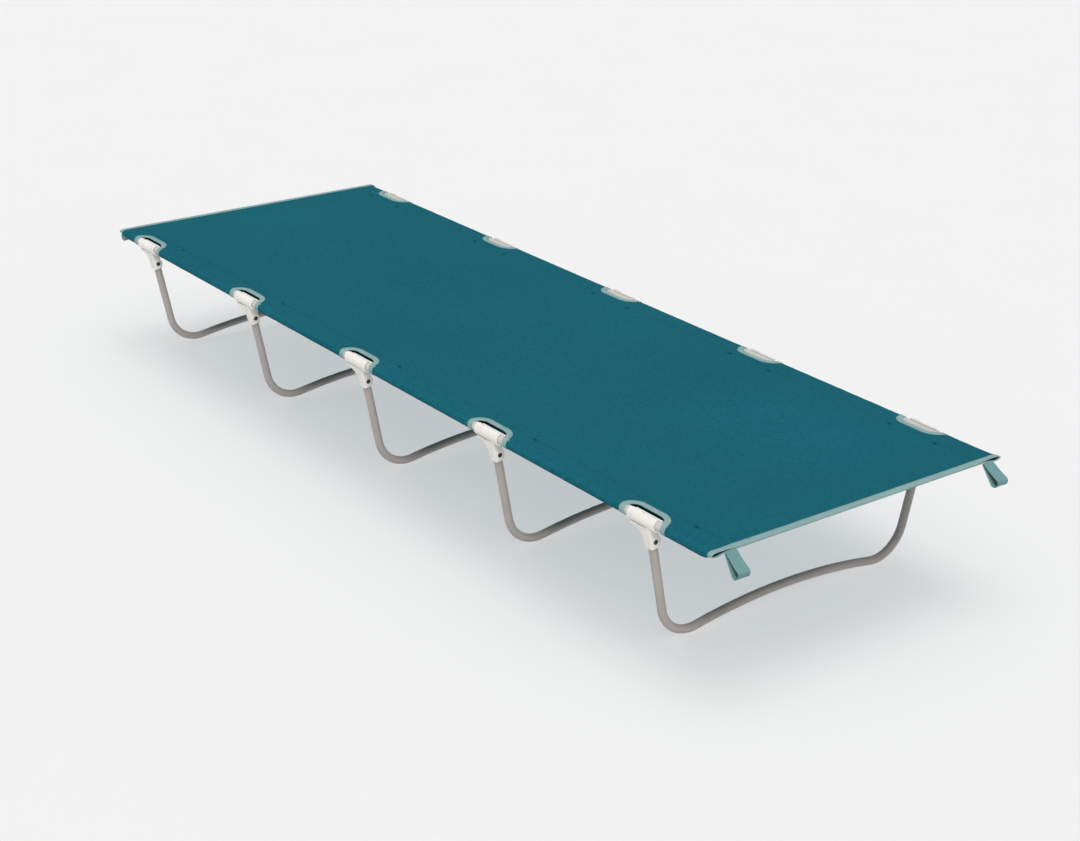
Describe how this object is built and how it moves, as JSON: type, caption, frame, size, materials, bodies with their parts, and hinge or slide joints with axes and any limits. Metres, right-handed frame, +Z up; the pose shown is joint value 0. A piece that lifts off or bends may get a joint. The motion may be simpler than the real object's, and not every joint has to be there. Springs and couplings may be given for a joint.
{
  "type": "camp bed",
  "caption": "Low camp bed: a taut cloth deck stretched between two long rails in sewn tunnels, carried on bent tube hoop legs that snap under the rails with plastic clips",
  "frame": {"origin": "the middle of the bed on the floor, straight below the centre of the deck", "axes": "X along the bed with the foot end at +X, Y across the bed with the left rail at -Y and the right rail at +Y, Z up with the floor at 0"},
  "size_m": [1.967, 0.6526, 0.2387],
  "materials": {
    "deck_cloth": "woven polyester, matte",
    "binding_tape": "ribbed binding tape",
    "webbing": "ribbed webbing",
    "rail_paint": "satin powder coat",
    "leg_paint": "satin powder coat",
    "clip_plastic": "fine moulded texture",
    "cap_plastic": "moulded",
    "rivet_metal": "blackened",
    "bare_metal": "plain zinc plated"
  },
  "bodies": {
    "bed": {"bed_fabric": "deck_cloth", "left_hem": "deck_cloth", "right_hem": "deck_cloth", "head_end_binding": "binding_tape", "foot_end_binding": "binding_tape", "left_cutout_bindings": "binding_tape", "right_cutout_bindings": "binding_tape", "head_pull_loops": "webbing", "foot_pull_loops": "webbing", "left_rail_head": "rail_paint", "left_rail_middle": "rail_paint", "left_rail_foot": "rail_paint", "right_rail_head": "rail_paint", "right_rail_middle": "rail_paint", "right_rail_foot": "rail_paint", "left_rail_joiners": "bare_metal", "right_rail_joiners": "bare_metal", "left_rail_end_caps": "cap_plastic", "right_rail_end_caps": "cap_plastic"},
    "leg_1": {"leg_1_tube": "leg_paint", "leg_1_left_clip": "clip_plastic", "leg_1_right_clip": "clip_plastic", "leg_1_rivets": "rivet_metal"},
    "leg_2": {"leg_2_tube": "leg_paint", "leg_2_left_clip": "clip_plastic", "leg_2_right_clip": "clip_plastic", "leg_2_rivets": "rivet_metal"},
    "leg_3": {"leg_3_tube": "leg_paint", "leg_3_left_clip": "clip_plastic", "leg_3_right_clip": "clip_plastic", "leg_3_rivets": "rivet_metal"},
    "leg_4": {"leg_4_tube": "leg_paint", "leg_4_left_clip": "clip_plastic", "leg_4_right_clip": "clip_plastic", "leg_4_rivets": "rivet_metal"},
    "leg_5": {"leg_5_tube": "leg_paint", "leg_5_left_clip": "clip_plastic", "leg_5_right_clip": "clip_plastic", "leg_5_rivets": "rivet_metal"}
  },
  "joints": [
    {"name": "leg_1_hinge", "type": "hinge", "parent": "bed", "child": "leg_1", "pos_m": [-0.825, 0.315, 0.226], "axis": [1, 0, 0], "range_deg": [0, 180]},
    {"name": "leg_2_hinge", "type": "hinge", "parent": "bed", "child": "leg_2", "pos_m": [-0.42, 0.315, 0.226], "axis": [1, 0, 0], "range_deg": [0, 180]},
    {"name": "leg_3_hinge", "type": "hinge", "parent": "bed", "child": "leg_3", "pos_m": [-0.015, 0.315, 0.226], "axis": [1, 0, 0], "range_deg": [0, 180]},
    {"name": "leg_4_hinge", "type": "hinge", "parent": "bed", "child": "leg_4", "pos_m": [0.39, 0.315, 0.226], "axis": [1, 0, 0], "range_deg": [0, 180]},
    {"name": "leg_5_hinge", "type": "hinge", "parent": "bed", "child": "leg_5", "pos_m": [0.795, 0.315, 0.226], "axis": [1, 0, 0], "range_deg": [0, 180]}
  ]
}
